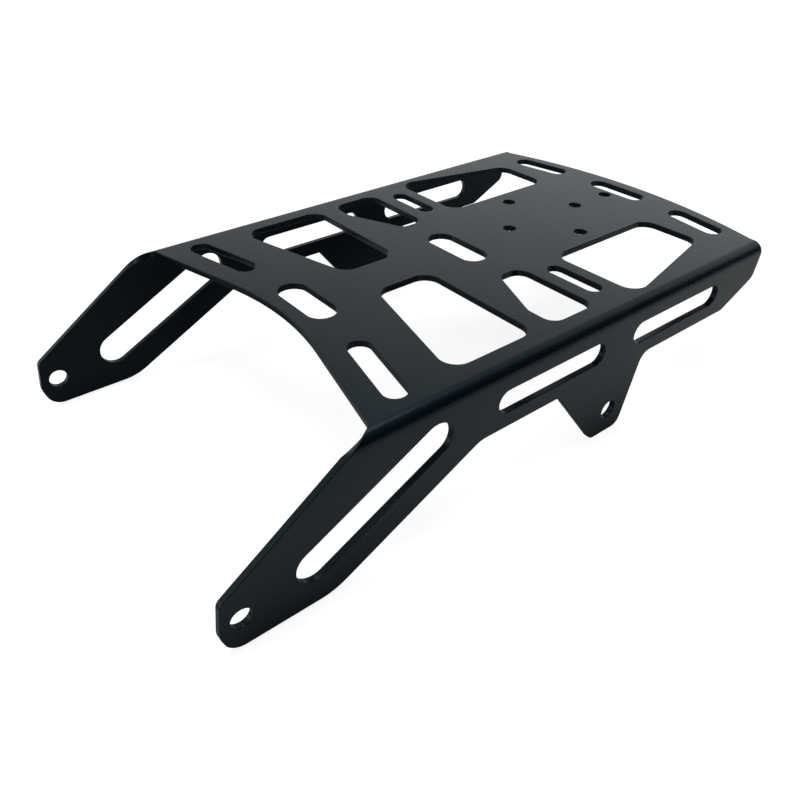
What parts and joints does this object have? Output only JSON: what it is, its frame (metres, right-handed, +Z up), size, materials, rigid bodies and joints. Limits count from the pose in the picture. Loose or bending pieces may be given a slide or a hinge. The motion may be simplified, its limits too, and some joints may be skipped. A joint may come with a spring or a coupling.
{
  "type": "motorcycle luggage rack",
  "caption": "Motorcycle luggage rack folded from one black-coated steel sheet: slotted top plate, deep sides with forward arms and fixing tabs.",
  "frame": {"origin": "on the centre line of the rack, in the upper face of the top plate, at the centre of the square of four small holes", "axes": "X across the bike, Y rearwards along the rack, +Z up and square to the top plate; the rack is mirrored about X = 0"},
  "size_m": [0.18, 0.3155, 0.0645],
  "materials": {
    "black_coat": "satin"
  },
  "bodies": {
    "root": {"rack_plate": "black_coat"}
  },
  "joints": []
}
